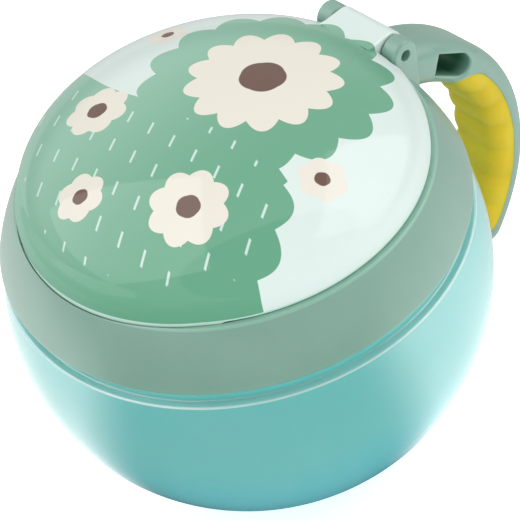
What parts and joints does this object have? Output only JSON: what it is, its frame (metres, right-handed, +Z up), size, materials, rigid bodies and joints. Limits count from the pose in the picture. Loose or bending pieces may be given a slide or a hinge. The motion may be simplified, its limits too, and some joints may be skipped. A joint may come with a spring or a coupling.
{
  "type": "toddler snack container",
  "caption": "Round snack bowl with a screw-on ring, soft slit opening, domed flip cover on a pinned hinge and a C-shaped carrying handle with a ribbed soft grip.",
  "frame": {"origin": "centre of the bowl's flat base", "axes": "+Z up; +Y from the bowl's middle towards the handle; +X along the hinge pin; the cover's thumb lip points to -Y"},
  "size_m": [0.09, 0.1126, 0.0782],
  "materials": {
    "bowl_plastic": "glossy milky aqua plastic",
    "lid_plastic": "satin sage green plastic",
    "cover_plastic": "glossy pale mint plastic with an in-mould print",
    "soft_grip": "matt mustard yellow soft rubber",
    "soft_opening": "milky soft silicone",
    "hinge_pin": "fine brushed steel"
  },
  "bodies": {
    "bowl": {"bowl": "bowl_plastic"},
    "soft_opening": {"flap_ring": "soft_opening"},
    "lid": {"lid_collar": "lid_plastic", "handle_arm": "lid_plastic", "handle_grip": "soft_grip", "hinge_pin": "hinge_pin"},
    "cover": {"cover": "cover_plastic"},
    "flap_1": {"flap_1": "soft_opening"},
    "flap_2": {"flap_2": "soft_opening"},
    "flap_3": {"flap_3": "soft_opening"},
    "flap_4": {"flap_4": "soft_opening"},
    "flap_5": {"flap_5": "soft_opening"},
    "flap_6": {"flap_6": "soft_opening"}
  },
  "joints": [
    {"name": "lid_lift", "type": "slide", "parent": "bowl", "child": "soft_opening", "axis": [0, 0, 1], "range_m": [0, 0.004]},
    {"name": "lid_turn", "type": "hinge", "parent": "soft_opening", "child": "lid", "pos_m": [0, 0, 0.056], "axis": [0, 0, 1], "range_deg": [0, 120]},
    {"name": "cover_open", "type": "hinge", "parent": "lid", "child": "cover", "pos_m": [0, 0.0371, 0.0678], "axis": [-1, 0, 0], "range_deg": [0, 180]},
    {"name": "flap_1_bend", "type": "hinge", "parent": "soft_opening", "child": "flap_1", "pos_m": [0.0266, 0, 0.06035], "axis": [0, -1, 0], "range_deg": [-15, 65], "stiffness_Nm_per_rad": 0.01},
    {"name": "flap_2_bend", "type": "hinge", "parent": "soft_opening", "child": "flap_2", "pos_m": [0.0133, 0.02304, 0.06035], "axis": [0.866, -0.5, 0], "range_deg": [-15, 65], "stiffness_Nm_per_rad": 0.01},
    {"name": "flap_3_bend", "type": "hinge", "parent": "soft_opening", "child": "flap_3", "pos_m": [-0.0133, 0.02304, 0.06035], "axis": [0.866, 0.5, 0], "range_deg": [-15, 65], "stiffness_Nm_per_rad": 0.01},
    {"name": "flap_4_bend", "type": "hinge", "parent": "soft_opening", "child": "flap_4", "pos_m": [-0.0266, 0, 0.06035], "axis": [0, 1, 0], "range_deg": [-15, 65], "stiffness_Nm_per_rad": 0.01},
    {"name": "flap_5_bend", "type": "hinge", "parent": "soft_opening", "child": "flap_5", "pos_m": [-0.0133, -0.02304, 0.06035], "axis": [-0.866, 0.5, 0], "range_deg": [-15, 65], "stiffness_Nm_per_rad": 0.01},
    {"name": "flap_6_bend", "type": "hinge", "parent": "soft_opening", "child": "flap_6", "pos_m": [0.0133, -0.02304, 0.06035], "axis": [-0.866, -0.5, 0], "range_deg": [-15, 65], "stiffness_Nm_per_rad": 0.01}
  ],
  "couplings": [
    {"joint": "lid_turn", "follows": "lid_lift", "rad_per_m": 523.6}
  ]
}
